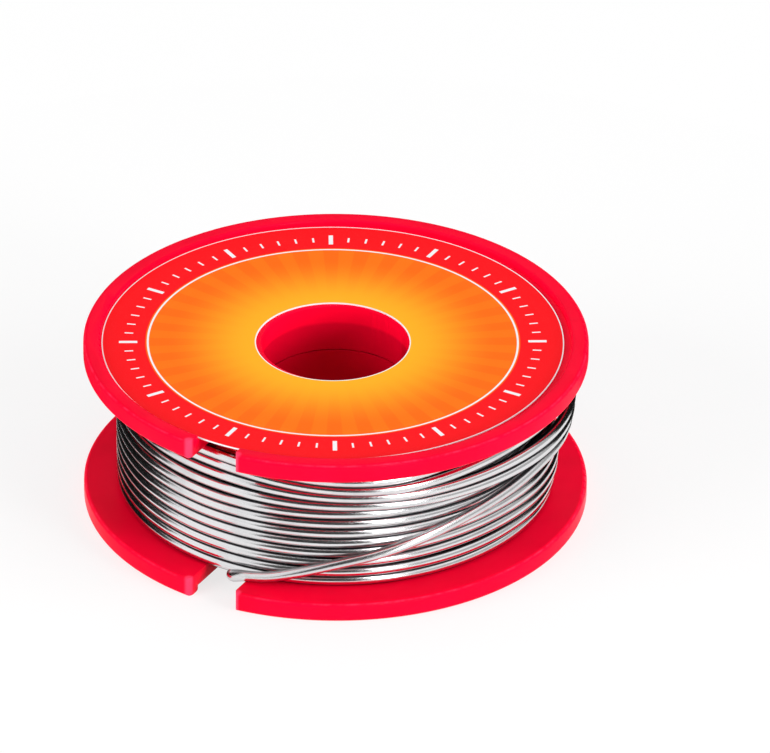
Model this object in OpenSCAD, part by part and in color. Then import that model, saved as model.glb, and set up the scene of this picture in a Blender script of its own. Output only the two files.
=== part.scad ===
// Small spool of flux-cored solder wire: two moulded halves pressed together at the hub, a round
// label in the upper flange's recess, the wound wire, and its free end hooked into the lower slot.
// The axis is Z, the lower rim stands on Z = 0, and the wire slots lie on -Y.

/* [Spool] */
// Outer diameter of the flanges
flange_d = 47; // [44:0.5:54]
// Overall height, rim to rim
spool_h = 16.7; // [13:0.1:24]
// Thickness of a flange at its rim
flange_t = 1.9; // [1.6:0.1:2.6]
// Diameter of the spindle bore
bore_d = 13.8; // [11:0.1:14.5]
// Outer diameter of the hub that carries the wire
hub_d = 17; // [16.4:0.1:24]

/* [Rim and recess] */
// Width of the raised rim round each flange's outer face
rim_w = 1.6; // [1.2:0.1:2.4]
// Depth of the recess inside the rim
recess_depth = 0.55; // [0.3:0.05:0.8]
// Rounding of the rim's outer edges
rim_round = 0.4; // [0.1:0.05:0.5]
// Rounding of the rim's edge towards the recess
recess_round = 0.25; // [0.1:0.05:0.3]
// Rounding of the bore's edges
bore_round = 0.2; // [0.1:0.05:0.4]

/* [Wire slots] */
// Width of the slot in each flange
slot_w = 4.6; // [3:0.1:7]
// Radius at which the slot's round inner end stops
slot_end_r = 15; // [12:0.1:18]
// Rounding of the slot's mouth corners
slot_round = 0.7; // [0.2:0.05:1]

/* [Hub joint] */
// Height of the spigot on the lower half
spigot_h = 3; // [2:0.1:4]
// Wall of the spigot
spigot_wall = 0.75; // [0.6:0.05:0.85]
// Lead-in chamfer at the spigot's tip
spigot_lead = 0.3; // [0.1:0.05:0.4]
// Radial clearance between spigot and socket
joint_gap = 0.05; // [0.02:0.01:0.1]

/* [Label] */
// Gap between the label's edge and the recess wall
label_gap = 0.4; // [0.4:0.05:2]
// Width of plastic left bare between the label's hole and the bore
label_hole_margin = 0.25; // [0.2:0.05:2]
// Thickness of the label
label_t = 0.1; // [0.05:0.01:0.2]
// How far the label is stuck off centre
label_shift = 0.3; // [0:0.05:0.35]
// Azimuth of that shift
label_shift_az = 209; // [0:1:360]

/* [Wire] */
// Diameter of the wire
wire_d = 1; // [0.6:0.05:1.2]
// Diameter of the flux core inside it
flux_d = 0.4; // [0.2:0.05:0.5]
// Outer diameter of the winding
winding_d = 40.8; // [34:0.1:42]
// Least gap between neighbouring turns
turn_gap = 0.44; // [0.42:0.01:1]
// Gap between the winding and what carries it
wire_gap = 0.1; // [0.05:0.01:0.2]
// Gap between the free end and the turns that it lies over
lay_gap = 0.15; // [0.1:0.01:0.3]
// Gap round the flux core inside the wire
flux_gap = 0.02; // [0.01:0.01:0.05]

/* [Hidden] */
$fn = 96;

flange_r = flange_d / 2;
bore_r = bore_d / 2;
hub_r = hub_d / 2;
half_h = spool_h / 2;
recess_r = flange_r - rim_w;
label_r = recess_r - label_gap;
label_hole_r = bore_r + label_hole_margin;
socket_gap_z = 0.1;
reach = 1;

// Winding: turns that fit between the flanges, counted up from the lower one
wire_r = wire_d / 2;
rings_per_turn = 24;
turn_r = winding_d / 2 - wire_r;
turn_z0 = flange_t + wire_gap + wire_r;
turn_z1 = spool_h - turn_z0;
turns = floor((turn_z1 - turn_z0) / (wire_d + turn_gap));
core_r = turn_r * cos(180 / rings_per_turn) - wire_r - wire_gap;
winding_az = 160;

// Route of the free end: azimuth, distance outside the radius where the wire lies on the turns,
// and height above the lower flange. It crosses the turns, drops into the slot and hooks inwards.
lay_r = turn_r + wire_d + lay_gap;
tail_route = [
    [12, 0.65, 7.6],
    [0, 0.45, 7.4],
    [-12, 0.25, 6.8],
    [-24, 0.05, 6],
    [-36, 0, 5],
    [-48, 0, 3.9],
    [-60, 0, 2.9],
    [-70, 0, 1.8],
    [-77, 0, 1],
    [-81.5, 0, 0.68],
    [-84.4, 0, 0.5],
    [-87.4, -0.25, 0.05],
    [-88.9, -0.85, -0.2],
    [-89.4, -1.7, -0.45],
    [-89.4, -3, -0.6],
];
tail_sides = 8;
turn_sides = 6;

function unit(v) = v / norm(v);
function polar(az, r, z) = [r * cos(az), r * sin(az), z];
function smooth(t) = t * t * (3 - 2 * t);
function blend(a, b, t) = a + (b - a) * t;
function limit(t) = max(0, min(1, t));

// Point on a Catmull-Rom curve through a route's rows, s counted in rows
function row(route, i) = route[max(0, min(len(route) - 1, i))];
function curve(route, s) =
    let (i = min(len(route) - 2, floor(s)), t = s - i,
         a = row(route, i - 1), b = row(route, i), c = row(route, i + 1), d = row(route, i + 2))
    b + t / 2 * (c - a + t * (2 * a - 5 * b + 4 * c - d + t * (3 * b - 3 * c + d - a)));

// Centre line of the free end, with a straight stretch of one diameter where it leaves the turns
function on_route(s) = let (p = curve(tail_route, s)) polar(p[0], lay_r + p[1], flange_t + p[2]);
tail_step = 0.5;
// Small stretch of the route, counted in rows, that gives its direction at the start
tail_nudge = 0.05;
tail_start = on_route(0);
tail_dir = unit(on_route(tail_nudge) - tail_start);
tail_line = concat([tail_start, tail_start + wire_d * tail_dir],
                   [for (s = [tail_step : tail_step : len(tail_route) - 1]) on_route(s)]);

// Centre line of the outer turns: one layer wound up from the lower flange, then the last part
// turn, which first steps out over it and then comes back down to where the free end starts
climb = (winding_az - tail_route[0][0]) / 360;
step_out = 0.4;
function on_turns(t) =
    let (u = (t - turns) / climb)
    polar(winding_az - 360 * t,
          blend(turn_r, lay_r + tail_route[0][1], smooth(limit(u / step_out))),
          t <= turns ? blend(turn_z0, turn_z1, t / turns)
                     : blend(turn_z1, flange_t + tail_route[0][2],
                             smooth(limit((u - step_out / 2) / (1 - step_out / 2)))));
turn_start = on_turns(0);
// Small part of a turn that gives the winding's direction at its start
turn_nudge = 0.01;
turn_line = concat([turn_start - wire_d * unit(on_turns(turn_nudge) - turn_start)],
                   [for (i = [0 : floor((turns + climb) * rings_per_turn) - 1])
                        on_turns(i / rings_per_turn)],
                   [tail_start - wire_d * tail_dir, tail_start]);

// Least gap of the outer turns to themselves, between points at least half a turn apart
least_gap = min([for (i = [0 : len(turn_line) - 1])
                     for (j = [i + rings_per_turn / 2 : len(turn_line) - 1])
                         norm(turn_line[j] - turn_line[i])]) - wire_d;
echo(str("turns ", turns, ", least gap between turns ", least_gap, " mm"));

// Ring of points square to a centre line
function tangent(line, i) = unit(line[min(i + 1, len(line) - 1)] - line[max(i - 1, 0)]);
function ring(line, i, r, sides) =
    let (t = tangent(line, i), side = unit(cross(t, [0, 0, 1])), up = cross(side, t))
    [for (k = [0 : sides - 1])
        line[i] + r * (cos(360 * k / sides) * side + sin(360 * k / sides) * up)];

// Triangles of a tube's wall, from one ring's points to the next; flip turns them inside out
function wall(n, sides, base, flip) =
    [for (i = [0 : n - 2]) for (k = [0 : sides - 1])
        let (a = base + i * sides + k, b = base + i * sides + (k + 1) % sides)
        each flip ? [[a, b + sides, b], [a, a + sides, b + sides]]
                  : [[a, b, b + sides], [a, b + sides, a + sides]]];

// Solid tube along a centre line
module tube(line, r, sides) {
    n = len(line);
    last = (n - 1) * sides;
    points = [for (i = [0 : n - 1]) each ring(line, i, r, sides)];
    ends = [for (k = [1 : sides - 2]) each [[0, k + 1, k], [last, last + k, last + k + 1]]];
    polyhedron(points, concat(wall(n, sides, 0, false), ends));
}

// Tube with a bore along the same centre line
module hollow_tube(line, r, r_in, sides) {
    n = len(line);
    inner = n * sides;
    last = (n - 1) * sides;
    points = concat([for (i = [0 : n - 1]) each ring(line, i, r, sides)],
                    [for (i = [0 : n - 1]) each ring(line, i, r_in, sides)]);
    ends = [for (k = [0 : sides - 1])
        let (m = (k + 1) % sides)
        each [[k, inner + m, m], [k, inner + k, inner + m],
              [last + k, last + m, inner + last + m], [last + k, inner + last + m, inner + last + k]]];
    polyhedron(points, concat(wall(n, sides, 0, false), wall(n, sides, inner, true), ends));
}

// Cutter that rounds a corner whose material lies at -X and +Y of the origin
module corner_round(r) {
    difference() {
        translate([-r, -reach]) square([r + reach, r + reach]);
        translate([-r, r]) circle(r);
    }
}

// Half section of one moulded half: flange with its raised rim, and hub up to mid-height
module half_section() {
    difference() {
        union() {
            translate([bore_r, 0]) square([flange_r - bore_r, flange_t]);
            translate([bore_r, 0]) square([hub_r - bore_r, half_h]);
        }
        translate([bore_r - reach, -reach]) square([recess_r - bore_r + reach, recess_depth + reach]);
        translate([flange_r, 0]) corner_round(rim_round);
        translate([flange_r, flange_t]) mirror([0, 1]) corner_round(rim_round);
        translate([recess_r, 0]) mirror([1, 0]) corner_round(recess_round);
        translate([bore_r, recess_depth]) mirror([1, 0]) corner_round(bore_round);
    }
}

// Piece taken off one corner of the slot's mouth, tangent to its wall and to the flange's edge
module mouth_round() {
    cx = slot_w / 2 + slot_round;
    cy = -sqrt(pow(flange_r - slot_round, 2) - cx * cx);
    k = flange_r / (flange_r - slot_round);
    difference() {
        polygon([[slot_w / 2, cy], [slot_w / 2, -flange_r - reach], [cx * k, -flange_r - reach],
                 [cx * k, cy * k], [cx, cy]]);
        translate([cx, cy]) circle(slot_round);
    }
}

// Wire slot, from outside the rim to its round inner end
module slot() {
    end_y = -slot_end_r - slot_w / 2;
    translate([0, 0, -reach]) linear_extrude(flange_t + 2 * reach) {
        translate([-slot_w / 2, -flange_r - reach]) square([slot_w, flange_r + reach + end_y]);
        translate([0, end_y]) circle(d = slot_w);
        mouth_round();
        mirror([1, 0]) mouth_round();
    }
}

module spool_half() {
    difference() {
        rotate_extrude() half_section();
        slot();
    }
}

// Lower half, with the spigot that centres the upper one
module lower_spool_half() {
    color([0.98, 0, 0.18]) union() {
        spool_half();
        rotate_extrude() polygon([
            [bore_r, half_h - reach],
            [bore_r + spigot_wall, half_h - reach],
            [bore_r + spigot_wall, half_h + spigot_h - spigot_lead],
            [bore_r + spigot_wall - spigot_lead, half_h + spigot_h],
            [bore_r, half_h + spigot_h],
        ]);
    }
}

// Upper half, turned over, with the socket that takes the spigot
module upper_spool_half() {
    color([0.98, 0, 0.18]) difference() {
        translate([0, 0, spool_h]) mirror([0, 0, 1]) spool_half();
        translate([0, 0, half_h - reach])
            cylinder(r = bore_r + spigot_wall + joint_gap, h = spigot_h + socket_gap_z + reach);
    }
}

// Label stuck to the floor of the upper recess
module top_label() {
    color([1, 0.45, 0.1])
        translate(polar(label_shift_az, label_shift, spool_h - recess_depth)) difference() {
            cylinder(r = label_r, h = label_t);
            translate([0, 0, -reach]) cylinder(r = label_hole_r, h = label_t + 2 * reach);
        }
}

// Layers under the outer one, as a plain core between the flanges
module wire_inner_layers() {
    color([0.7, 0.7, 0.72]) translate([0, 0, flange_t + wire_gap]) difference() {
        cylinder(r = core_r, h = spool_h - 2 * (flange_t + wire_gap));
        translate([0, 0, -reach]) cylinder(r = hub_r + wire_gap, h = spool_h);
    }
}

module wire_outer_turns() {
    color([0.85, 0.85, 0.87]) tube(turn_line, wire_r, turn_sides);
}

// Free end of the wire, hollow where the flux runs
module wire_tail() {
    color([0.88, 0.88, 0.9]) hollow_tube(tail_line, wire_r, flux_d / 2, tail_sides);
}

module flux_core() {
    color([0.85, 0.6, 0.2]) tube(tail_line, flux_d / 2 - flux_gap, tail_sides);
}

lower_spool_half();
upper_spool_half();
top_label();
wire_inner_layers();
wire_outer_turns();
wire_tail();
flux_core();
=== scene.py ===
"""Looks of a small spool of flux-cored solder wire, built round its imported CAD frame.

The frame stands on Z = 0 with the spool's axis on Z and both wire slots on -Y. Lengths are in
metres; the MM factor turns the sizes that are written in millimetres into metres.
"""

import logging
import math
from dataclasses import dataclass
from enum import Enum
from typing import Any, Sequence

import bmesh
import bpy
from mathutils import Matrix, Vector


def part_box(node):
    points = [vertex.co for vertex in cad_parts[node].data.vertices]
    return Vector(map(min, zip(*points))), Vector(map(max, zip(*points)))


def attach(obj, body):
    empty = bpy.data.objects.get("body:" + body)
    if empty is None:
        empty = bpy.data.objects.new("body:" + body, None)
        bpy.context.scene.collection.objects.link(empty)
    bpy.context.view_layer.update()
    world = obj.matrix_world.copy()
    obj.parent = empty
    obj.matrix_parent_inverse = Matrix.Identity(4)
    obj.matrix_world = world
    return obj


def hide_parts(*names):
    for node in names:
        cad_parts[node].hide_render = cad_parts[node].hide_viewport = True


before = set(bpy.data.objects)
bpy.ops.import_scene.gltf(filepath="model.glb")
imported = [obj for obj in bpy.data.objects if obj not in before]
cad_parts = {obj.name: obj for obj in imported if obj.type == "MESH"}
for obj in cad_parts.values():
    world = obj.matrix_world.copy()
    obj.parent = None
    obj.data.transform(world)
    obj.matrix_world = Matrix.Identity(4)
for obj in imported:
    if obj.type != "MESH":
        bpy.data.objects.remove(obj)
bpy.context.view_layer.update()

MM = 0.001
TURN = 2 * math.pi
# Edges of a wire's cut end are sharper than this, and those round it are not, in degrees
CAP_ANGLE = 50.0

log = logging.getLogger("solder_spool")

Colour = tuple[float, float, float, float]
Pair = tuple[float, float]
Row = tuple[float, ...]
WHITE: Colour = (1, 1, 1, 1)


class Body(str, Enum):
    """The frame's bodies that pieces ride on."""

    ROOT = "root"


class Slot(str, Enum):
    """The record's material slots."""

    PLASTIC = "spool_plastic"
    PAPER = "label_paper"
    SOLDER = "solder"
    FLUX = "flux"


class Side(Enum):
    """The two moulded halves of the spool, by node name."""

    LOWER = "lower_spool_half"
    UPPER = "upper_spool_half"


# ---------------------------------------------------------------- shader tools


class Value:
    """A number that a node socket gives, with Python's operators as Math nodes."""

    def __init__(self, board: "NodeBoard", socket: bpy.types.NodeSocket) -> None:
        """Wraps an output socket of a board's tree."""
        self.board = board
        self.socket = socket

    def math(self, operation: str, *others: "Value | float") -> "Value":
        """Adds one Math node.

        Args:
            operation: The node's operation.
            others: The values after this one.

        Returns:
            The node's result.
        """
        terms = dict(enumerate((self, *others)))
        made = self.board.node("ShaderNodeMath", {"operation": operation}, terms)
        return Value(self.board, made.outputs[0])

    def __add__(self, other: "Value | float") -> "Value":
        """Sum, whichever comes first."""
        return self.math("ADD", other)

    def __sub__(self, other: "Value | float") -> "Value":
        """Difference."""
        return self.math("SUBTRACT", other)

    def __mul__(self, other: "Value | float") -> "Value":
        """Product, whichever comes first."""
        return self.math("MULTIPLY", other)

    __radd__ = __add__
    __rmul__ = __mul__

    def __abs__(self) -> "Value":
        """Size without its sign."""
        return self.math("ABSOLUTE")

    def fraction(self) -> "Value":
        """What is left above the whole number below."""
        return self.math("FRACT")

    def swing(self, size: float) -> "Value":
        """Turns 0 to 1 into a swing of half a size to either side of 0."""
        return (self - 0.5) * size

    def high(self, other: "Value | float") -> "Value":
        """The larger of two values."""
        return self.math("MAXIMUM", other)

    def rise(self, start: float, end: float) -> "Value":
        """Smooth step that is 0 at start and 1 at end, which may be below start."""
        made = self.board.node(
            "ShaderNodeMapRange",
            {"interpolation_type": "SMOOTHSTEP"},
            {0: self, 1: start, 2: end, 3: 0.0, 4: 1.0},
        )
        return Value(self.board, made.outputs[0])

    def within(self, half: float, soft: float) -> "Value":
        """1 where the value is less than half a width from 0, with a soft edge."""
        return abs(self).rise(half + soft / 2, half - soft / 2)


class NodeBoard:
    """A node tree with one method that adds any node."""

    def __init__(self, tree: bpy.types.NodeTree) -> None:
        """Clears the tree of a material, of the world or of a modifier, and starts on it."""
        self.tree = tree
        tree.nodes.clear()

    def node(
        self,
        kind: str,
        settings: dict[str, Any] | None = None,
        sockets: dict[str | int, Any] | None = None,
    ) -> bpy.types.Node:
        """Adds one node.

        Args:
            kind: The node's type.
            settings: Its own settings, set first.
            sockets: Values or links of its inputs, by name or index.

        Returns:
            The node.
        """
        made = self.tree.nodes.new(kind)
        for name, setting in (settings or {}).items():
            setattr(made, name, setting)
        for key, value in (sockets or {}).items():
            socket = made.inputs[key]
            if isinstance(value, Value):
                self.tree.links.new(value.socket, socket)
            elif isinstance(value, bpy.types.NodeSocket):
                self.tree.links.new(value, socket)
            else:
                socket.default_value = value
        return made

    def principled(self, **sockets: Any) -> bpy.types.Node:
        """Adds a Principled shader, with its sockets by name and _ for a space."""
        named = {key.replace("_", " "): value for key, value in sockets.items()}
        return self.node("ShaderNodeBsdfPrincipled", {}, named)

    def show(self, shader: bpy.types.Node, kind: str = "ShaderNodeOutputMaterial") -> None:
        """Adds the tree's output, which shows a shader."""
        self.node(kind, {}, {"Surface": shader.outputs[0]})

    def noise(self, place: Any, scale: float, detail: float, roughness: float = 0.5) -> Value:
        """Noise texture between 0 and 1.

        Args:
            place: Coordinates socket.
            scale: Waves to a unit of the coordinates.
            detail: Octaves.
            roughness: Share that each finer octave keeps.

        Returns:
            The noise.
        """
        made = self.node(
            "ShaderNodeTexNoise",
            {"noise_dimensions": "3D"},
            {"Vector": place, "Scale": scale, "Detail": detail, "Roughness": roughness},
        )
        return Value(self, made.outputs["Fac"])

    def mix(self, factor: Value | float, first: Any, second: Any) -> bpy.types.NodeSocket:
        """Mixes two colours or colour sockets, with the first at 0 and the second at 1."""
        made = self.node("ShaderNodeMix", {"data_type": "RGBA"}, {0: factor, 6: first, 7: second})
        return made.outputs[2]

    def bump(self, height: Value, strength: float, distance: float) -> bpy.types.NodeSocket:
        """Bump normal from a height between 0 and 1, where 1 is a distance in metres."""
        made = self.node(
            "ShaderNodeBump", {}, {"Strength": strength, "Distance": distance, "Height": height}
        )
        return made.outputs[0]

    def object_place(self) -> bpy.types.NodeSocket:
        """Object coordinates, which are the row frame's on every piece."""
        return self.node("ShaderNodeTexCoord").outputs["Object"]

    def background_rays(self) -> Value:
        """1 for the rays that show the background: camera rays, and glossy and transmission rays."""
        path = self.node("ShaderNodeLightPath").outputs
        camera, glossy, through = (
            Value(self, path[name]) for name in ("Is Camera Ray", "Is Glossy Ray", "Is Transmission Ray")
        )
        return camera.high(glossy).high(through)

    def parts(self, vector: Any) -> tuple[Value, Value, Value]:
        """The three numbers of a vector."""
        made = self.node("ShaderNodeSeparateXYZ", {}, {0: vector})
        return tuple(Value(self, made.outputs[i]) for i in range(3))


def new_material(name: str) -> tuple[bpy.types.Material, NodeBoard]:
    """Makes an empty material and the board of its tree."""
    made = bpy.data.materials.new(name)
    made.use_nodes = True
    return made, NodeBoard(made.node_tree)


def span(x: Value, y: Value) -> Value:
    """Length of a flat vector."""
    return (x * x + y * y).math("POWER", 0.5)


# -------------------------------------------------------------------- finishes


@dataclass(frozen=True)
class MouldedPlastic:
    """Bright red moulded polystyrene with faint flow marks, and painted highlights along the rims' crowns,
    broken into specks, and at the slots' rounded corners.

    It has painted shade in the bore: a deeper red along the stretch between the flanges.
    """

    rim_radius: float
    red: Colour = (0.92, 0.0011, 0.029, 1)
    deep: Colour = (0.85, 0.0009, 0.025, 1)
    # Waves to the metre and octaves of each noise, and for the scratches what a finer one keeps
    flow_noise: Pair = (170.0, 3.0)
    grain_noise: Pair = (5200.0, 2.0)
    scratch_noise: Row = (900.0, 4.0, 0.7)
    flow_step: Pair = (0.35, 0.7)
    scratch_step: Pair = (0.35, 0.75)
    # The painted shade along the bore, a deeper red: its colour, the radii and heights over which it starts,
    # and heights where it ends
    bore_shade: Colour = (0.66, 0.0008, 0.022, 1)
    bore_step: Pair = (7.6 * MM, 7.4 * MM)
    bore_shade_from: Pair = (1.5 * MM, 1.95 * MM)
    bore_shade_to: Pair = (14.5 * MM, 14.05 * MM)
    # Painted highlight: the pale pink of the rims' crowns, broken into specks by the scratch noise, and of
    # the slots' corners, with the crown's strength, width and inset
    highlight_pink: Colour = (1.0, 0.060, 0.150, 1)
    crown_highlight_strength: float = 0.45
    crown_highlight_width: float = 0.11 * MM
    crown_inset: float = 0.14 * MM
    # The slots' rounded corners, which get a painted highlight: how far off the slot's middle and off the
    # axis, how near to that place it pales, and how much
    mouth: Pair = (2.55 * MM, 23.0 * MM)
    corner_highlight_step: Pair = (0.55 * MM, 0.2 * MM)
    corner_highlight_strength: float = 0.7
    roughness: float = 0.32
    flow_rough: float = 0.10
    grain_rough: float = 0.05
    specular: float = 0.03
    # The flow marks' share of the relief, and its strength and height
    flow_share: float = 0.7
    relief: Pair = (0.25, 0.02 * MM)

    def material(self) -> bpy.types.Material:
        """Builds the material."""
        made, board = new_material("red_moulded_plastic")
        place = board.object_place()
        flow = board.noise(place, *self.flow_noise)
        grain = board.noise(place, *self.grain_noise)
        x, y, z = board.parts(place)
        far = span(x, y)
        # Painted shade: a deeper red along the bore between the flanges
        bore_shade = far.rise(*self.bore_step) * z.rise(*self.bore_shade_from) * z.rise(*self.bore_shade_to)
        # Painted highlight along the rim's crown
        crown_highlight = (far - (self.rim_radius - self.crown_inset)).within(self.crown_highlight_width / 2, self.crown_highlight_width)
        scratches = board.noise(place, *self.scratch_noise).rise(*self.scratch_step)
        # Painted highlight on the slots' rounded corners
        corner_highlight = span(abs(x) - self.mouth[0], y + self.mouth[1]).rise(*self.corner_highlight_step)
        # The crown's and the corners' painted highlights, mixed in as pale pink
        painted_highlights = (crown_highlight * scratches * self.crown_highlight_strength).high(corner_highlight * self.corner_highlight_strength)
        colour = board.mix(flow.rise(*self.flow_step), self.red, self.deep)
        colour = board.mix(bore_shade, colour, self.bore_shade)
        shader = board.principled(
            Base_Color=board.mix(painted_highlights, colour, self.highlight_pink),
            Roughness=self.roughness + flow.swing(self.flow_rough) + grain.swing(self.grain_rough),
            Normal=board.bump(flow * self.flow_share + grain * (1 - self.flow_share), *self.relief),
            Specular_IOR_Level=self.specular,
        )
        board.show(shader)
        return made


@dataclass(frozen=True)
class DrawnSolder:
    """Bright drawn tin alloy with fine lines along the wire, a breath of tarnish, and painted shade in the
    grooves, on each turn's inner and under sides.

    It reads the wire's own UV map: u in millimetres along it and v in turns round it, with 0 on the
    side that faces away from the spool's axis.
    """

    name: str = "drawn_solder"
    bright: Colour = (0.80, 0.80, 0.81, 1)
    dull: Colour = (0.55, 0.55, 0.57, 1)
    # Painted shade in the grooves: its colour and strength
    groove_shade_colour: Colour = (0.018, 0.015, 0.020, 1)
    groove_shade: float = 0.95
    roughness: float = 0.17
    # How the drawn lines' noise is stretched along the wire and packed round it
    stretch: Row = (0.12, 26.0, 1.0)
    line_noise: Pair = (1.0, 3.0)
    line_step: Pair = (0.4, 0.8)
    line_dull: float = 0.25
    line_rough: float = 0.12
    tarnish_noise: Pair = (240.0, 4.0)
    tarnish_step: Pair = (0.45, 0.75)
    tarnish_dull: float = 0.5
    # Cosine of the turn towards the inner side and sine towards the under side, where the painted shade of
    # the grooves sets in
    inner_step: Pair = (0.30, 0.04)
    under_step: Pair = (-0.36, -0.76)
    groove_shade_rough: float = 0.25
    relief: Pair = (0.5, 0.012 * MM)

    def material(self) -> bpy.types.Material:
        """Builds the material."""
        made, board = new_material(self.name)
        wire = board.node("ShaderNodeUVMap", {"uv_map": "wire"}).outputs[0]
        stretched = board.node("ShaderNodeMapping", {}, {"Vector": wire, "Scale": self.stretch})
        lines = board.noise(stretched.outputs[0], *self.line_noise)
        tarnish = board.noise(board.object_place(), *self.tarnish_noise).rise(*self.tarnish_step)
        dulled = tarnish * self.tarnish_dull + lines.rise(*self.line_step) * self.line_dull
        _, round_it, _ = board.parts(wire)
        away, above = ((round_it * TURN).math(wave) for wave in ("COSINE", "SINE"))
        # Painted shade on the inner and under sides of each turn, where the grooves are
        groove_shade = away.rise(*self.inner_step).high(above.rise(*self.under_step)) * self.groove_shade
        shader = board.principled(
            Base_Color=board.mix(groove_shade, board.mix(dulled, self.bright, self.dull), self.groove_shade_colour),
            Roughness=self.roughness + lines.swing(self.line_rough) + groove_shade * self.groove_shade_rough,
            Normal=board.bump(lines, *self.relief),
            Metallic=1.0,
        )
        board.show(shader)
        return made


@dataclass(frozen=True)
class PrintedLabel:
    """Printed paper: an orange field that glows round the hole, in a red ring with a scale of ticks."""

    centre: Pair
    radius: float
    hole: float
    paper: Colour = (0.84, 0.84, 0.87, 1)
    red: Colour = (0.92, 0.005, 0.010, 1)
    orange: Colour = (0.94, 0.145, 0.004, 1)
    amber: Colour = (0.95, 0.42, 0.015, 1)
    edge: float = 0.08 * MM
    soft: float = 0.05 * MM
    # Shares of the radius: where the glow ends, the red ring starts, and the white line and ticks lie
    glow_end: float = 0.72
    ring_step: Pair = (0.808, 0.812)
    line_at: float = 0.8
    ticks_at: float = 0.885
    line_half: float = 0.09 * MM
    # Ticks in the turn, half of a tick's width and half of its length
    ticks: tuple[tuple[int, float, float], ...] = (
        (72, 0.09 * MM, 0.4 * MM),
        (12, 0.2 * MM, 0.85 * MM),
    )
    # Rays in the turn, half of a ray's width and its soft edge as shares of their spacing
    rays: int = 36
    ray_shape: Pair = (0.25, 0.06)
    ray_glow: float = 0.10
    ink_noise: Pair = (9000.0, 2.0)
    ink_step: Pair = (0.55, 0.9)
    ink_wear: float = 0.03
    fibre_noise: Pair = (3800.0, 4.0)
    fibre_rough: float = 0.12
    roughness: float = 0.42
    specular: float = 0.06
    relief: Pair = (0.2, 0.01 * MM)

    def material(self) -> bpy.types.Material:
        """Builds the material from the distance to the label's own centre and the angle round it."""
        made, board = new_material("printed_label")
        place = board.object_place()
        x, y, _ = board.parts(place)
        x, y = x - self.centre[0], y - self.centre[1]
        far = span(x, y)
        angle = y.math("ARCTAN2", x) * (1 / TURN) + 0.5
        ink = board.noise(place, *self.ink_noise).rise(*self.ink_step)
        fibre = board.noise(place, *self.fibre_noise)
        rays = ((angle * self.rays).fraction() - 0.5).within(*self.ray_shape)
        ring = far.rise(*(share * self.radius for share in self.ring_step))

        field = board.mix(far.rise(self.hole, self.glow_end * self.radius), self.amber, self.orange)
        field = board.mix(rays * self.ray_glow, field, self.amber)
        field = board.mix(ring, field, self.red)
        field = board.mix(self.marks(far, angle), field, self.paper)
        shader = board.principled(
            Base_Color=board.mix(ink * self.ink_wear, field, self.paper),
            Roughness=self.roughness + fibre.swing(self.fibre_rough),
            Normal=board.bump(fibre, *self.relief),
            Specular_IOR_Level=self.specular,
        )
        board.show(shader)
        return made

    def marks(self, far: Value, angle: Value) -> Value:
        """Everything that the label leaves white.

        Args:
            far: Distance to the label's centre.
            angle: Turn round it, from 0 to 1.

        Returns:
            1 on the bare paper and 0 on the ink.
        """
        rim = far.rise(self.radius - self.edge - self.soft, self.radius - self.edge)
        hole = far.rise(self.hole + self.edge + self.soft, self.hole + self.edge)
        line = (far - self.line_at * self.radius).within(self.line_half, self.soft)
        shown = rim.high(hole).high(line)
        for count, half_width, half_length in self.ticks:
            aside = ((angle * count + 0.5).fraction() - 0.5) * far * (TURN / count)
            along = far - self.ticks_at * self.radius
            tick = aside.within(half_width, self.soft) * along.within(half_length, self.soft)
            shown = shown.high(tick)
        return shown


@dataclass(frozen=True)
class FluxResin:
    """Amber rosin in the wire's core."""

    amber: Colour = (0.55, 0.26, 0.05, 1)
    pale: Colour = (0.75, 0.45, 0.12, 1)
    cloud_noise: Pair = (2500.0, 3.0)
    roughness: float = 0.25
    cloud_rough: float = 0.2

    def material(self) -> bpy.types.Material:
        """Builds the material."""
        made, board = new_material("flux_resin")
        cloud = board.noise(board.object_place(), *self.cloud_noise)
        colour = board.mix(cloud, self.amber, self.pale)
        roughness = self.roughness + cloud * self.cloud_rough
        board.show(board.principled(Base_Color=colour, Roughness=roughness))
        return made


# ---------------------------------------------------------------------- curves


def wrap(angle: float) -> float:
    """The same angle between -180 and 180 degrees."""
    return (angle + 180) % 360 - 180


def bell(off: float, half: float) -> float:
    """Squared cosine that is 1 where off is 0, and 0 past half on both sides."""
    return math.cos(math.pi / 2 * off / half) ** 2 if abs(off) < half else 0.0


def swell(azimuth: float, at: Pair) -> float:
    """Bell over azimuths, with the azimuth of its top and half of its width."""
    return bell(wrap(azimuth - at[0]), at[1])


def polar(azimuth: float, radius: float, height: float) -> Vector:
    """Point from an azimuth in degrees, a radius and a height."""
    turn = math.radians(azimuth)
    return Vector((radius * math.cos(turn), radius * math.sin(turn), height))


def polar_mm(azimuth: float, radius: float, height: float) -> Vector:
    """Point in metres from an azimuth in degrees, and a radius and a height in millimetres."""
    return polar(azimuth, radius * MM, height * MM)


def catmull_rom(rows: Sequence[Row], s: float) -> list[float]:
    """Point on a Catmull-Rom curve through rows.

    Args:
        rows: Rows of numbers that the curve passes through.
        s: Place on it, counted in rows.

    Returns:
        The row at s.
    """
    i = min(len(rows) - 2, int(s))
    t = s - i
    a, b, c, d = (rows[max(0, min(len(rows) - 1, i + k))] for k in (-1, 0, 1, 2))
    return [
        q + t / 2 * (r - p + t * (2 * p - 5 * q + 4 * r - u + t * (3 * q - 3 * r + u - p)))
        for p, q, r, u in zip(a, b, c, d)
    ]


def new_object(name: str, data: bpy.types.ID) -> bpy.types.Object:
    """Makes an object for a mesh, a lamp or a camera, in the scene."""
    made = bpy.data.objects.new(name, data)
    bpy.context.scene.collection.objects.link(made)
    return made


def new_mesh_object(name: str, mesh: bpy.types.Mesh, material: bpy.types.Material) -> bpy.types.Object:
    """Makes an object for a mesh, with one material."""
    mesh.materials.append(material)
    return new_object(name, mesh)


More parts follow.
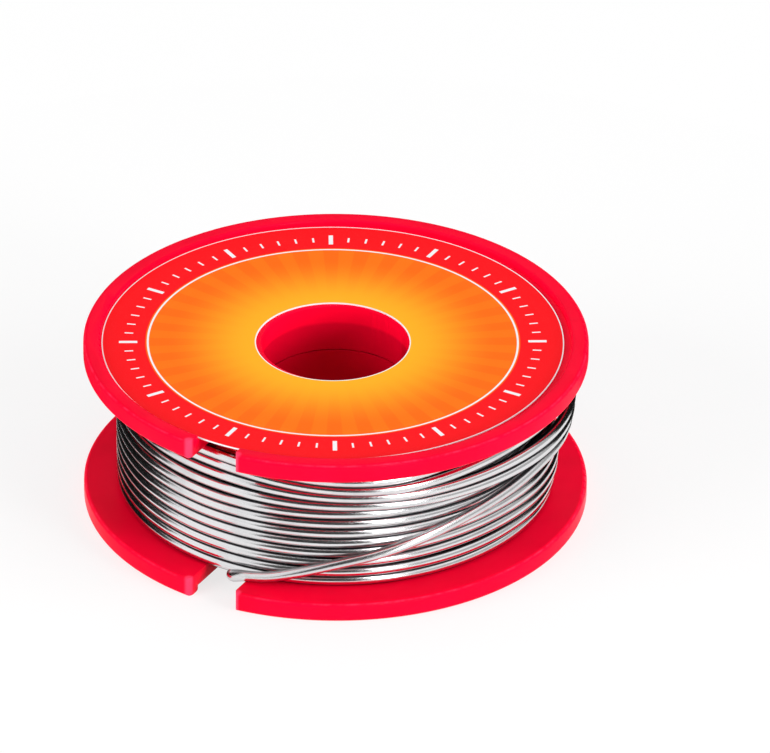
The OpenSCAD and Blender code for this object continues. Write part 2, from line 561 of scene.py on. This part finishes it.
def settle(piece: bpy.types.Object) -> bpy.types.Mesh:
    """Turns what a piece's modifiers make into its own plain mesh."""
    graph = bpy.context.evaluated_depsgraph_get()
    result = bpy.data.meshes.new_from_object(piece.evaluated_get(graph))
    piece.modifiers.clear()
    piece.data = result
    result.name = piece.name
    return result


def finish_piece(piece: bpy.types.Object, node: str) -> None:
    """Rides a piece on the body and lets it stand for a CAD node.

    Args:
        piece: The finished piece.
        node: CAD node that it replaces.
    """
    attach(piece, Body.ROOT.value)
    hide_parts(node)
    log.info("%s: %d faces", piece.name, len(piece.data.polygons))


# -------------------------------------------------------------- the wire's tree


class WireSweep:
    """Geometry Nodes tree that turns a line into drawn wire."""

    INPUTS = (
        ("Wire Radius", "NodeSocketFloat", 0.0005),
        ("Sides", "NodeSocketInt", 16),
        ("Waver", "NodeSocketFloat", 0.0),
        ("Waver Scale", "NodeSocketFloat", 60.0),
        ("Seed", "NodeSocketFloat", 7.0),
        ("Finish", "NodeSocketMaterial", None),
    )

    def __init__(self) -> None:
        """Builds the tree once."""
        self.tree = bpy.data.node_groups.new("wire_sweep", "GeometryNodeTree")
        face = self.tree.interface
        face.new_socket("Geometry", in_out="INPUT", socket_type="NodeSocketGeometry")
        for name, kind, value in self.INPUTS:
            socket = face.new_socket(name, in_out="INPUT", socket_type=kind)
            if value is not None:
                socket.default_value = value
        face.new_socket("Geometry", in_out="OUTPUT", socket_type="NodeSocketGeometry")
        self._build()

    def _build(self) -> None:
        """Sweeps a round profile along the line and stores the length along the wire."""
        node = NodeBoard(self.tree).node
        given = node("NodeGroupInput").outputs
        position = node("GeometryNodeInputPosition").outputs[0]
        noise = node(
            "ShaderNodeTexNoise",
            {"noise_dimensions": "4D"},
            {"Vector": position, "W": given["Seed"], "Scale": given["Waver Scale"], "Detail": 1.0},
        ).outputs["Color"]
        centred = node("ShaderNodeVectorMath", {"operation": "SUBTRACT"}, {0: noise, 1: (0.5, 0.5, 0.5)})
        shift = node(
            "ShaderNodeVectorMath",
            {"operation": "SCALE"},
            {0: centred.outputs[0], "Scale": given["Waver"]},
        ).outputs[0]
        line = node("GeometryNodeMeshToCurve", {}, {"Mesh": given["Geometry"]}).outputs[0]
        moved = node("GeometryNodeSetPosition", {}, {"Geometry": line, "Offset": shift}).outputs[0]
        along = node("GeometryNodeSplineParameter").outputs["Length"]
        measured = node(
            "GeometryNodeStoreNamedAttribute",
            {"data_type": "FLOAT", "domain": "POINT"},
            {"Geometry": moved, "Name": "wire_along", "Value": along},
        ).outputs[0]
        circle = node(
            "GeometryNodeCurvePrimitiveCircle",
            {"mode": "RADIUS"},
            {"Resolution": given["Sides"], "Radius": given["Wire Radius"]},
        ).outputs[0]
        swept = node(
            "GeometryNodeCurveToMesh", {}, {"Curve": measured, "Profile Curve": circle, "Fill Caps": True}
        ).outputs[0]
        shaded = node("GeometryNodeSetShadeSmooth", {}, {"Geometry": swept, "Shade Smooth": True}).outputs[0]
        real = node("GeometryNodeRealizeInstances", {}, {"Geometry": shaded}).outputs[0]
        dressed = node("GeometryNodeSetMaterial", {}, {"Geometry": real, "Material": given["Finish"]})
        node("NodeGroupOutput", {}, {"Geometry": dressed.outputs[0]})

    def sweep(
        self, name: str, line: Sequence[Vector], finish: bpy.types.Material, **sizes: float
    ) -> bpy.types.Object:
        """Runs the tree on one line and keeps the result as a plain mesh.

        Args:
            name: Name of the new piece.
            line: Points of the wire's centre line.
            finish: The wire's material.
            sizes: Values of the tree's inputs, with _ for a space.

        Returns:
            The piece, at the origin, with a UV map called wire.
        """
        mesh = bpy.data.meshes.new(name)
        mesh.from_pydata([tuple(p) for p in line], [(i, i + 1) for i in range(len(line) - 1)], [])
        piece = new_object(name, mesh)
        modifier = piece.modifiers.new("wire", "NODES")
        modifier.node_group = self.tree
        identifiers = {
            item.name: item.identifier
            for item in self.tree.interface.items_tree
            if item.item_type == "SOCKET" and item.in_out == "INPUT"
        }
        modifier[identifiers["Finish"]] = finish
        for key, value in sizes.items():
            modifier[identifiers[key.replace("_", " ")]] = value
        result = settle(piece)
        self.unwrap(result, int(sizes["Sides"]))
        result.set_sharp_from_angle(angle=math.radians(CAP_ANGLE))
        return piece

    @staticmethod
    def unwrap(mesh: bpy.types.Mesh, sides: int) -> None:
        """Makes the wire's UV map: u in millimetres along it, v in turns round it from its outer side.

        Args:
            mesh: A swept wire, ring after ring.
            sides: Points in each ring.
        """
        along = mesh.attributes["wire_along"].data
        around = []
        for first in range(0, len(mesh.vertices), sides):
            ring = [mesh.vertices[first + k].co for k in range(sides)]
            middle = sum(ring, Vector()) / sides
            out = math.hypot(middle.x, middle.y)
            around += [math.atan2(p.z - middle.z, math.hypot(p.x, p.y) - out) / TURN % 1 for p in ring]
        uv = mesh.uv_layers.new(name="wire")
        for polygon in mesh.polygons:
            turns = [around[mesh.loops[i].vertex_index] for i in polygon.loop_indices]
            wraps = max(turns) - min(turns) > 0.5
            for i, turn in zip(polygon.loop_indices, turns):
                u = along[mesh.loops[i].vertex_index].value / MM
                uv.data[i].uv = (u, turn + 1.0 if wraps and turn < 0.5 else turn)


# ---------------------------------------------------------------- sub-assemblies


@dataclass
class Spool:
    """The two moulded halves, with the slots' and the recesses' edges softened as a mould leaves them."""

    plastic: bpy.types.Material
    edge_round: float = 0.14 * MM
    edge_segments: int = 3
    merge: float = 0.002 * MM
    flat_angle: float = 0.3
    sharp_angle: float = 38.0
    # Heights between which every sharp edge is the joint's, where the halves close up square
    joint: Pair = (3.0 * MM, 13.7 * MM)

    def build(self) -> None:
        """Builds both halves from the frame's own solids."""
        for side in Side:
            finish_piece(self.soften(side), side.value)

    def is_softened(self, edge: bmesh.types.BMEdge) -> bool:
        """Whether an edge is sharp and lies outside the joint of the halves."""
        in_joint = all(self.joint[0] < v.co.z < self.joint[1] for v in edge.verts)
        return not in_joint and edge.calc_face_angle(0.0) > math.radians(self.sharp_angle)

    def soften(self, side: Side) -> bpy.types.Object:
        """Makes a merged copy of one CAD half and rounds its sharp edges.

        Args:
            side: The half.

        Returns:
            The new piece.
        """
        name = f"moulded_{side.name.lower()}_half"
        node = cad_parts[side.value]
        work = bmesh.new()
        work.from_mesh(node.data)
        bmesh.ops.transform(work, matrix=node.matrix_world, verts=work.verts)
        bmesh.ops.remove_doubles(work, verts=work.verts, dist=self.merge)
        flat = math.radians(self.flat_angle)
        bmesh.ops.dissolve_limit(work, angle_limit=flat, verts=work.verts, edges=work.edges)
        bmesh.ops.recalc_face_normals(work, faces=work.faces)
        weight = work.edges.layers.float.new("bevel_weight_edge")
        for edge in work.edges:
            edge[weight] = float(self.is_softened(edge))
        mesh = bpy.data.meshes.new(name)
        work.to_mesh(mesh)
        work.free()
        piece = new_mesh_object(name, mesh, self.plastic)
        bevel = piece.modifiers.new("mould_edges", "BEVEL")
        bevel.width = self.edge_round
        bevel.segments = self.edge_segments
        bevel.limit_method = "WEIGHT"
        bevel.use_clamp_overlap = True
        bevel.miter_outer = "MITER_ARC"
        rounded = settle(piece)
        rounded.polygons.foreach_set("use_smooth", [True] * len(rounded.polygons))
        rounded.set_sharp_from_angle(angle=math.radians(self.sharp_angle))
        return piece


@dataclass
class TopLabel:
    """The round label, as a thin sheet."""

    sectors: int = 240
    rings: int = 10

    def __post_init__(self) -> None:
        """Reads the label's place and size from the frame."""
        low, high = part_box("top_label")
        self.centre = (low + high) / 2
        self.radius = (high.x - low.x) / 2
        self.base, self.top = low.z, high.z
        self.hole = min(
            math.hypot(v.co.x - self.centre.x, v.co.y - self.centre.y)
            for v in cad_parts["top_label"].data.vertices
        )

    def build(self) -> None:
        """Builds and dresses the label."""
        radii = [self.hole + (self.radius - self.hole) * i / self.rings for i in range(self.rings + 1)]
        profile = [(r, self.top) for r in radii] + [(r, self.base) for r in reversed(radii)]
        middle = (self.centre.x, self.centre.y)
        mesh = lathe("label_sheet", profile, self.sectors, middle)
        finish = PrintedLabel(middle, self.radius, self.hole).material()
        finish_piece(new_mesh_object("label_sheet", mesh, finish), "top_label")


def lathe(name: str, profile: Sequence[Pair], sectors: int, axis: Pair = (0.0, 0.0)) -> bpy.types.Mesh:
    """Revolves a closed profile round an upright axis.

    Args:
        name: Name of the mesh.
        profile: Points as radius and height, in order round the outline.
        sectors: Faces round the axis.
        axis: Where the axis stands.

    Returns:
        The mesh, with its faces outwards.
    """
    n = len(profile)
    points = []
    faces = []
    for i in range(sectors):
        across, along = math.cos(TURN * i / sectors), math.sin(TURN * i / sectors)
        points += [(axis[0] + r * across, axis[1] + r * along, z) for r, z in profile]
        a, b = i * n, (i + 1) % sectors * n
        faces += [(a + k, b + k, b + (k + 1) % n, a + (k + 1) % n) for k in range(n)]
    mesh = bpy.data.meshes.new(name)
    mesh.from_pydata(points, [], faces)
    work = bmesh.new()
    work.from_mesh(mesh)
    bmesh.ops.recalc_face_normals(work, faces=work.faces)
    work.to_mesh(mesh)
    work.free()
    return mesh


@dataclass(frozen=True)
class Pass:
    """One of the last turns, wound by hand over the end of the layer.

    It bulges out where it lies over the wire that leads to the free end, and dips where that wire
    has left room for it.
    """

    start: float
    bulge: float
    hump: float
    dip: float
    # Azimuth of the middle and half of the width, in degrees
    bulge_at: Pair = (18, 82)
    hump_at: Pair = (25, 75)
    dip_at: Pair = (-51, 48)

    def place(self, azimuth: float, share: float, end: float) -> Row:
        """Place on this turn.

        Args:
            azimuth: Azimuth, in degrees.
            share: Share of the turn that is made.
            end: Height at which the turn ends.

        Returns:
            Azimuth, distance outside the radius of the even turns, and height.
        """
        height = self.start + (end - self.start) * share
        height += self.hump * swell(azimuth, self.hump_at) - self.dip * swell(azimuth, self.dip_at)
        return (azimuth, self.bulge * swell(azimuth, self.bulge_at), height)


@dataclass
class Winding:
    """The wire on the hub: one wound outer layer that ends in the free end, over the layers inside."""

    finish: bpy.types.Material
    # The inner layers' darker solder, which is painted shade
    shaded_finish: bpy.types.Material
    open_finish: bpy.types.Material
    tree: WireSweep
    wire_d: float = 1.0
    sides: int = 16
    waver: float = 0.10
    waver_scale: float = 45.0
    hub_r: float = 8.6
    arc_steps: int = 5
    core_sectors: int = 144
    # Length that the core's UV map gives a turn, in millimetres
    core_turn: float = 100.0
    turn_r: float = 19.95
    start_azimuth: float = 160.0
    steps_per_turn: int = 160
    steps_per_row: int = 6
    start_z: float = 2.42
    # Turns at the lower flange before the wire starts to climb, and how far each later turn climbs
    rest: float = 0.7
    pitch: float = 1.025
    even_turns: int = 8
    # How far the loosest even turn stands off, the middle and half of the span of such turns in
    # height, and the same in azimuth for how they bulge and how they lift
    slack: float = 0.4
    slack_z: Pair = (4.9, 3.2)
    slack_out: Pair = (29, 45)
    slack_up: Pair = (-20, 45)
    end_z: float = 14.25
    passes: tuple[Pass, ...] = (
        Pass(start=9.9, bulge=1.9, hump=0.1, dip=0.33),
        Pass(start=11.15, bulge=2.0, hump=0.0, dip=0.7),
        Pass(start=12.35, bulge=1.6, hump=0.6, dip=1.1),
        Pass(start=13.45, bulge=0.45, hump=0.45, dip=1.1),
    )
    # The stretch that crosses back down to the free end: azimuth, distance outside the radius of
    # the even turns, and height
    crossing: tuple[Row, ...] = (
        (150, 0.6, 14.1),
        (138, 1.0, 13.3),
        (125, 1.05, 12.3),
        (110, 1.1, 11.0),
        (97, 1.2, 9.9),
        (85, 1.3, 9.3),
        (70, 1.4, 9.2),
        (50, 1.55, 9.3),
        (30, 1.65, 9.45),
    )

    def even(self, azimuth: float, turn: float) -> Row:
        """Place of an even turn, of which the middle ones stand a little off on the unwinding side.

        Args:
            azimuth: Azimuth, in degrees.
            turn: Turns made since the start.

        Returns:
            Azimuth, distance outside the radius of the even turns, and height.
        """
        height = self.start_z + self.pitch * max(0.0, turn - self.rest)
        off = self.slack * bell(height - self.slack_z[0], self.slack_z[1])
        return (azimuth, off * swell(azimuth, self.slack_out), height + off * swell(azimuth, self.slack_up))

    def rows(self, end: Sequence[Row]) -> list[Row]:
        """Every row of the outer layer.

        Args:
            end: The first two rows of the free end.

        Returns:
            Rows of azimuth, radius and height, in millimetres.
        """
        rows = []
        turns = self.even_turns + len(self.passes)
        starts = [one.start for one in self.passes] + [self.end_z]
        for i in range(turns * self.steps_per_turn):
            turn = i / self.steps_per_turn
            azimuth = self.start_azimuth - 360 * turn
            if turn < self.even_turns:
                rows.append(self.even(azimuth, turn))
            else:
                n = int(turn) - self.even_turns
                rows.append(self.passes[n].place(azimuth, turn % 1, starts[n + 1]))
        last = [(a, r - self.turn_r, z) for a, r, z in end]
        route = rows[-2:] + [(a - 360 * turns, out, up) for a, out, up in [*self.crossing, *last]]
        steps = self.steps_per_row
        for i in range(1, len(route) - 2):
            rows += [tuple(catmull_rom(route, i + k / steps)) for k in range(1, steps + 1)]
        return [(a, self.turn_r + out, up) for a, out, up in rows]

    def build(self, end: Sequence[Row]) -> None:
        """Builds the outer layer, which leads to the free end's rows."""
        line = [polar_mm(*row) for row in self.rows(end[:2])]
        piece = self.tree.sweep(
            "wound_wire",
            line,
            self.finish,
            Wire_Radius=self.wire_d / 2 * MM,
            Sides=self.sides,
            Waver=self.waver * MM,
            Waver_Scale=self.waver_scale,
        )
        finish_piece(piece, "wire_outer_turns")

    def core_side(self, start: Pair, step: Pair, out: Pair, count: int) -> list[Pair]:
        """One side of the core's outline, as half circles that stand out from it.

        Args:
            start: Corner at which it starts, as radius and height.
            step: From one wire to the next.
            out: Outwards, as long as a wire is wide.
            count: Wires on this side.

        Returns:
            Points as radius and height.
        """
        points = []
        for i in range(count):
            for k in range(self.arc_steps):
                t = math.pi * k / self.arc_steps
                along, lift = i + 0.5 - 0.5 * math.cos(t), 0.5 * math.sin(t)
                points.append(tuple(a + along * b + lift * c for a, b, c in zip(start, step, out)))
        return points

    def build_core(self) -> None:
        """Builds the layers under the outer one, as rows of wire lying against each other."""
        low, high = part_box("wire_inner_layers")
        half, hub = self.wire_d / 2 * MM, self.hub_r * MM
        outer = self.turn_r * MM - half * math.sqrt(3)
        columns = round((outer - hub) / (2 * half))
        rows = round((high.z - low.z) / (2 * half))
        width, tall = (outer + half - hub) / columns, (high.z - low.z) / rows
        left, right = hub + 0.5 * width, hub + (columns - 0.5) * width
        bottom, top = low.z + 0.5 * tall, high.z - 0.5 * tall
        profile = [
            *self.core_side((left, bottom), ((right - left) / columns, 0), (0, -tall), columns),
            *self.core_side((right, bottom), (0, (top - bottom) / rows), (width, 0), rows),
            *self.core_side((right, top), ((left - right) / columns, 0), (0, tall), columns),
            *self.core_side((left, top), (0, (bottom - top) / rows), (-width, 0), rows),
        ]
        mesh = lathe("inner_wire", profile, self.core_sectors)
        mesh.polygons.foreach_set("use_smooth", [True] * len(mesh.polygons))
        uv = mesh.uv_layers.new(name="wire")
        for loop in mesh.loops:
            co = mesh.vertices[loop.vertex_index].co
            along = math.atan2(co.y, co.x) / TURN * self.core_turn
            uv.data[loop.index].uv = (along, (co.z + math.hypot(co.x, co.y)) / (2 * half))
        # The inner layers are darker all over, as painted shade
        piece = new_mesh_object("inner_wire", mesh, self.shaded_finish)
        # The upper side, which shows in the slot, is as bright as the outer turns
        mesh.materials.append(self.open_finish)
        for polygon in mesh.polygons:
            polygon.material_index = int(polygon.center.z > top)
        finish_piece(piece, "wire_inner_layers")


@dataclass
class FreeEnd:
    """The wire's free end, which crosses the turns and hooks into the lower slot."""

    finish: bpy.types.Material
    resin: bpy.types.Material
    wire_d: float = 1.0
    wire_sides: int = 20
    flux_d: float = 0.36
    flux_sides: int = 12
    # Share of the bore's diameter that the flux thread fills
    flux_share: float = 0.97
    lay_r: float = 21.05
    flange_top: float = 1.9
    step: float = 0.125
    # Azimuth, distance outside the radius where the wire lies on the turns, and height above the
    # lower flange's inner face: the same route as the CAD solid's
    route: tuple[Row, ...] = (
        (12, 0.65, 7.6),
        (0, 0.45, 7.4),
        (-12, 0.25, 6.8),
        (-24, 0.05, 6),
        (-36, 0, 5),
        (-48, 0, 3.9),
        (-60, 0, 2.9),
        (-70, 0, 1.8),
        (-77, 0, 1),
        (-81.5, 0, 0.68),
        (-84.4, 0, 0.5),
        (-87.4, -0.25, 0.05),
        (-88.9, -0.85, -0.2),
        (-89.4, -1.7, -0.45),
        (-89.4, -3, -0.6),
    )

    def rows(self) -> list[Row]:
        """The route as azimuth, radius and height in millimetres."""
        return [(a, self.lay_r + out, self.flange_top + up) for a, out, up in self.route]

    def line(self) -> list[Vector]:
        """Centre line of the free end, in metres."""
        rows = self.rows()
        count = round((len(rows) - 1) / self.step)
        return [polar_mm(*catmull_rom(rows, i * self.step)) for i in range(count + 1)]

    def build(self) -> None:
        line = self.line()
        radius, bore = self.wire_d / 2 * MM, self.flux_d / 2 * MM
        thread = tube("flux_thread", line, 0.0, bore * self.flux_share, self.flux_sides, self.resin)
        finish_piece(thread, "flux_core")
        wire = tube("free_wire_end", line, bore, radius, self.wire_sides, self.finish)
        finish_piece(wire, "wire_tail")


def tube(
    name: str,
    line: Sequence[Vector],
    bore: float,
    radius: float,
    sides: int,
    material: bpy.types.Material,
) -> bpy.types.Object:
    """Builds a closed tube along a line, solid where its bore is 0.

    Args:
        name: Name of the piece.
        line: Points of the centre line.
        bore: Radius of the bore, or 0.
        radius: Outer radius.
        sides: Faces round it.
        material: Its finish.

    Returns:
        The piece, with a UV map called wire.
    """
    work = bmesh.new()
    uv = work.loops.layers.uv.new("wire")
    walls = [radius, bore] if bore else [radius]
    turns = [TURN * k / sides for k in range(sides)]
    rings: list[list[list[bmesh.types.BMVert]]] = []
    lengths = [0.0]
    for a, b in zip(line, line[1:]):
        lengths.append(lengths[-1] + (b - a).length)
    for i, point in enumerate(line):
        ahead = (line[min(i + 1, len(line) - 1)] - line[max(i - 1, 0)]).normalized()
        side = Vector((0, 0, 1)).cross(ahead).normalized()
        up = ahead.cross(side)
        spokes = [math.cos(turn) * side + math.sin(turn) * up for turn in turns]
        rings.append([[work.verts.new(point + r * spoke) for spoke in spokes] for r in walls])
    for i in range(len(line) - 1):
        for near, far in zip(rings[i], rings[i + 1]):
            for k in range(sides):
                m = (k + 1) % sides
                face = work.faces.new((near[k], near[m], far[m], far[k]))
                face.smooth = True
                corners = ((i, k), (i, k + 1), (i + 1, k + 1), (i + 1, k))
                for loop, (a, b) in zip(face.loops, corners):
                    loop[uv].uv = (lengths[a] / MM, b / sides)
    for end in (rings[0], rings[-1]):
        if bore:
            for k in range(sides):
                m = (k + 1) % sides
                work.faces.new((end[0][k], end[0][m], end[1][m], end[1][k]))
        else:
            work.faces.new(end[0])
    bmesh.ops.recalc_face_normals(work, faces=work.faces)
    mesh = bpy.data.meshes.new(name)
    work.to_mesh(mesh)
    work.free()
    mesh.set_sharp_from_angle(angle=math.radians(CAP_ANGLE))
    return new_mesh_object(name, mesh, material)


@dataclass(frozen=True)
class Card:
    """A curved reflector or black flag that stands round the spool, seen only by glossy rays.

    Bearings are degrees round the spool from the camera's side, positive to the camera's right. The
    outline is its section, as radii and heights.
    """

    name: str
    bearings: Pair
    outline: tuple[Pair, ...]
    glow: float
    steps: int = 24

    def build(self, camera_azimuth: float) -> None:
        """Builds the card.

        Args:
            camera_azimuth: Azimuth of the camera, in the row frame.
        """
        first, last = self.bearings
        turns = [camera_azimuth - 90 + first + (last - first) * i / self.steps for i in range(self.steps + 1)]
        points = [tuple(polar(turn, radius, height)) for turn in turns for radius, height in self.outline]
        n = len(self.outline)
        corners = [i * n + k for i in range(self.steps) for k in range(n - 1)]
        mesh = bpy.data.meshes.new(self.name)
        mesh.from_pydata(points, [], [(c, c + n, c + n + 1, c + 1) for c in corners])
        material, board = new_material(self.name)
        board.show(board.node("ShaderNodeEmission", {}, {"Color": WHITE, "Strength": self.glow}))
        card = new_mesh_object(self.name, mesh, material)
        for rays in ("camera", "diffuse", "transmission", "volume_scatter", "shadow"):
            setattr(card, f"visible_{rays}", False)


@dataclass(frozen=True)
class Lamp:
    """A soft disk lamp that points at the spool, and shows in the metal only if it is mirrored."""

    name: str
    bearing: float
    elevation: float
    distance: float
    size: float
    power: float
    mirrored: bool = False

    def build(self, camera_azimuth: float) -> None:
        """Adds the lamp.

        Args:
            camera_azimuth: Azimuth of the camera, in the row frame.
        """
        data = bpy.data.lights.new(self.name, "AREA")
        data.shape = "DISK"
        data.size = self.size
        data.energy = self.power
        lamp = new_object(self.name, data)
        e = math.radians(self.elevation)
        azimuth = camera_azimuth - 90 + self.bearing
        lamp.location = polar(azimuth, self.distance * math.cos(e), self.distance * math.sin(e))
        lamp.rotation_euler = lamp.location.to_track_quat("Z", "Y").to_euler()
        lamp.visible_glossy = self.mirrored


@dataclass
class Studio:
    """Pale floor, soft light and the camera."""

    azimuth: float = 29.3
    elevation: float = 30.484
    distance: float = 1.3267
    aim_height: float = 0.008084
    roll: float = 0.25
    focal_px: float = 14230.0
    frame_px: tuple[int, int] = (770, 753)
    aim_px: Pair = (335.7, 417.3)
    sensor_mm: float = 36.0
    clip: Pair = (0.1, 10.0)
    floor_size: float = 4.0
    floor_drop: float = 0.02 * MM
    floor_tones: tuple[Colour, Colour] = ((0.92, 0.92, 0.92, 1), (0.95, 0.95, 0.95, 1))
    floor_noise: Pair = (3.0, 2.0)
    floor_roughness: float = 0.6
    floor_specular: float = 0.1
    floor_white: float = 0.75
    fill: float = 0.36
    lamps: tuple[Lamp, ...] = (
        Lamp("overhead", 180.0, 84.0, 0.9, 0.95, 1.87, mirrored=True),
        Lamp("left_box", -62.0, 18.0, 1.1, 0.9, 11.0),
        Lamp("right_box", 70.0, 18.0, 1.1, 0.9, 9.5),
        Lamp("low_key", 50.0, 15.0, 1.1, 0.35, 5.5),
    )
    cards: tuple[Card, ...] = (
        Card("flag_behind", (112, 280), ((0.027, 0.0001), (0.08, 0.0001), (0.08, 0.045)), 0.02),
        Card("flag_left", (205, 266), ((0.079, 0.0001), (0.079, 0.11)), 0.006),
        Card("flag_right", (103, 150), ((0.079, 0.0001), (0.079, 0.085)), 0.006),
        Card("flag_at_camera", (-38, 20), ((0.3, 0.0), (0.3, 0.6)), 0.05),
        Card("strip_light", (20, 30), ((0.29, 0.0), (0.29, 0.8)), 6.0),
        Card("grey_card", (34, 112), ((0.31, 0.0), (0.31, 0.2)), 0.5),
    )

    def build(self) -> None:
        """Builds the stage, the lights, the world and the camera."""
        self.camera()
        self.floor()
        for thing in (*self.lamps, *self.cards):
            thing.build(self.azimuth)
        self.world()
        bpy.context.scene.view_settings.view_transform = "Standard"

    def camera(self) -> None:
        """Places the camera at its own angle, turned so that the spool falls at its place in the frame."""
        a, e = math.radians(self.azimuth), math.radians(self.elevation)
        back = Vector((math.sin(a) * math.cos(e), -math.cos(a) * math.cos(e), math.sin(e)))
        level = Vector((math.cos(a), math.sin(a), 0.0))
        above = back.cross(level)
        r = math.radians(self.roll)
        right = level * math.cos(r) + above * math.sin(r)
        up = above * math.cos(r) - level * math.sin(r)
        place = Vector((0, 0, self.aim_height)) + back * self.distance
        off_x = (self.frame_px[0] / 2 - self.aim_px[0]) / self.focal_px
        off_y = (self.aim_px[1] - self.frame_px[1] / 2) / self.focal_px
        forward = (-back + right * off_x + up * off_y).normalized()
        side = forward.cross(up).normalized()
        top = side.cross(forward)
        turned = Matrix((side, top, -forward)).transposed().to_4x4()
        data = bpy.data.cameras.new("camera")
        data.sensor_width = self.sensor_mm
        data.lens = self.focal_px * data.sensor_width / self.frame_px[0]
        data.clip_start, data.clip_end = self.clip
        camera = new_object("camera", data)
        camera.matrix_world = Matrix.Translation(place) @ turned
        bpy.context.scene.camera = camera

    def floor(self) -> None:
        """Builds the floor, which reads as plain white and keeps the spool's shadow."""
        half = self.floor_size / 2
        corners = [(-half, -half, 0), (half, -half, 0), (half, half, 0), (-half, half, 0)]
        mesh = bpy.data.meshes.new("floor")
        mesh.from_pydata(corners, [], [(0, 1, 2, 3)])
        material, board = new_material("pale_floor")
        mottled = board.mix(board.noise(board.object_place(), *self.floor_noise), *self.floor_tones)
        matt = board.principled(
            Base_Color=mottled,
            Roughness=self.floor_roughness,
            Specular_IOR_Level=self.floor_specular,
        )
        white = board.node("ShaderNodeEmission", {}, {"Color": WHITE, "Strength": 1.0})
        mixed = {0: board.background_rays() * self.floor_white, 1: matt.outputs[0], 2: white.outputs[0]}
        board.show(board.node("ShaderNodeMixShader", {}, mixed))
        floor = new_mesh_object("floor", mesh, material)
        floor.location.z = -self.floor_drop

    def world(self) -> None:
        """Shows white surroundings, which fill the shadows at a lower level."""
        world = bpy.data.worlds.new("studio")
        world.use_nodes = True
        bpy.context.scene.world = world
        board = NodeBoard(world.node_tree)
        strength = self.fill + (1 - self.fill) * board.background_rays()
        sky = board.node("ShaderNodeBackground", {}, {"Color": WHITE, "Strength": strength})
        board.show(sky, "ShaderNodeOutputWorld")


def main() -> None:
    """Builds the studio, then every piece in order."""
    logging.basicConfig(level=logging.INFO, format="%(name)s: %(message)s")
    Studio().build()
    solder = DrawnSolder()
    # The loose end has a lighter painted shade in its grooves; the inner layers' solders have none
    loose = DrawnSolder("loose_solder", (0.74, 0.74, 0.75, 1), groove_shade=0.3, roughness=0.24)
    # A darker copy of the solder: painted shade for the inner layers
    deep = DrawnSolder("painted_shade_solder", (0.30, 0.30, 0.31, 1), (0.12, 0.12, 0.13, 1), groove_shade=0.0)
    unshaded = DrawnSolder("open_solder", groove_shade=0.0)
    free_end = FreeEnd(loose.material(), FluxResin().material())
    free_end.build()
    winding = Winding(solder.material(), deep.material(), unshaded.material(), WireSweep())
    winding.build(free_end.rows())
    winding.build_core()
    rim_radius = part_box(Side.UPPER.value)[1].x
    Spool(MouldedPlastic(rim_radius).material()).build()
    TopLabel().build()


if __name__ == "__main__":
    main()
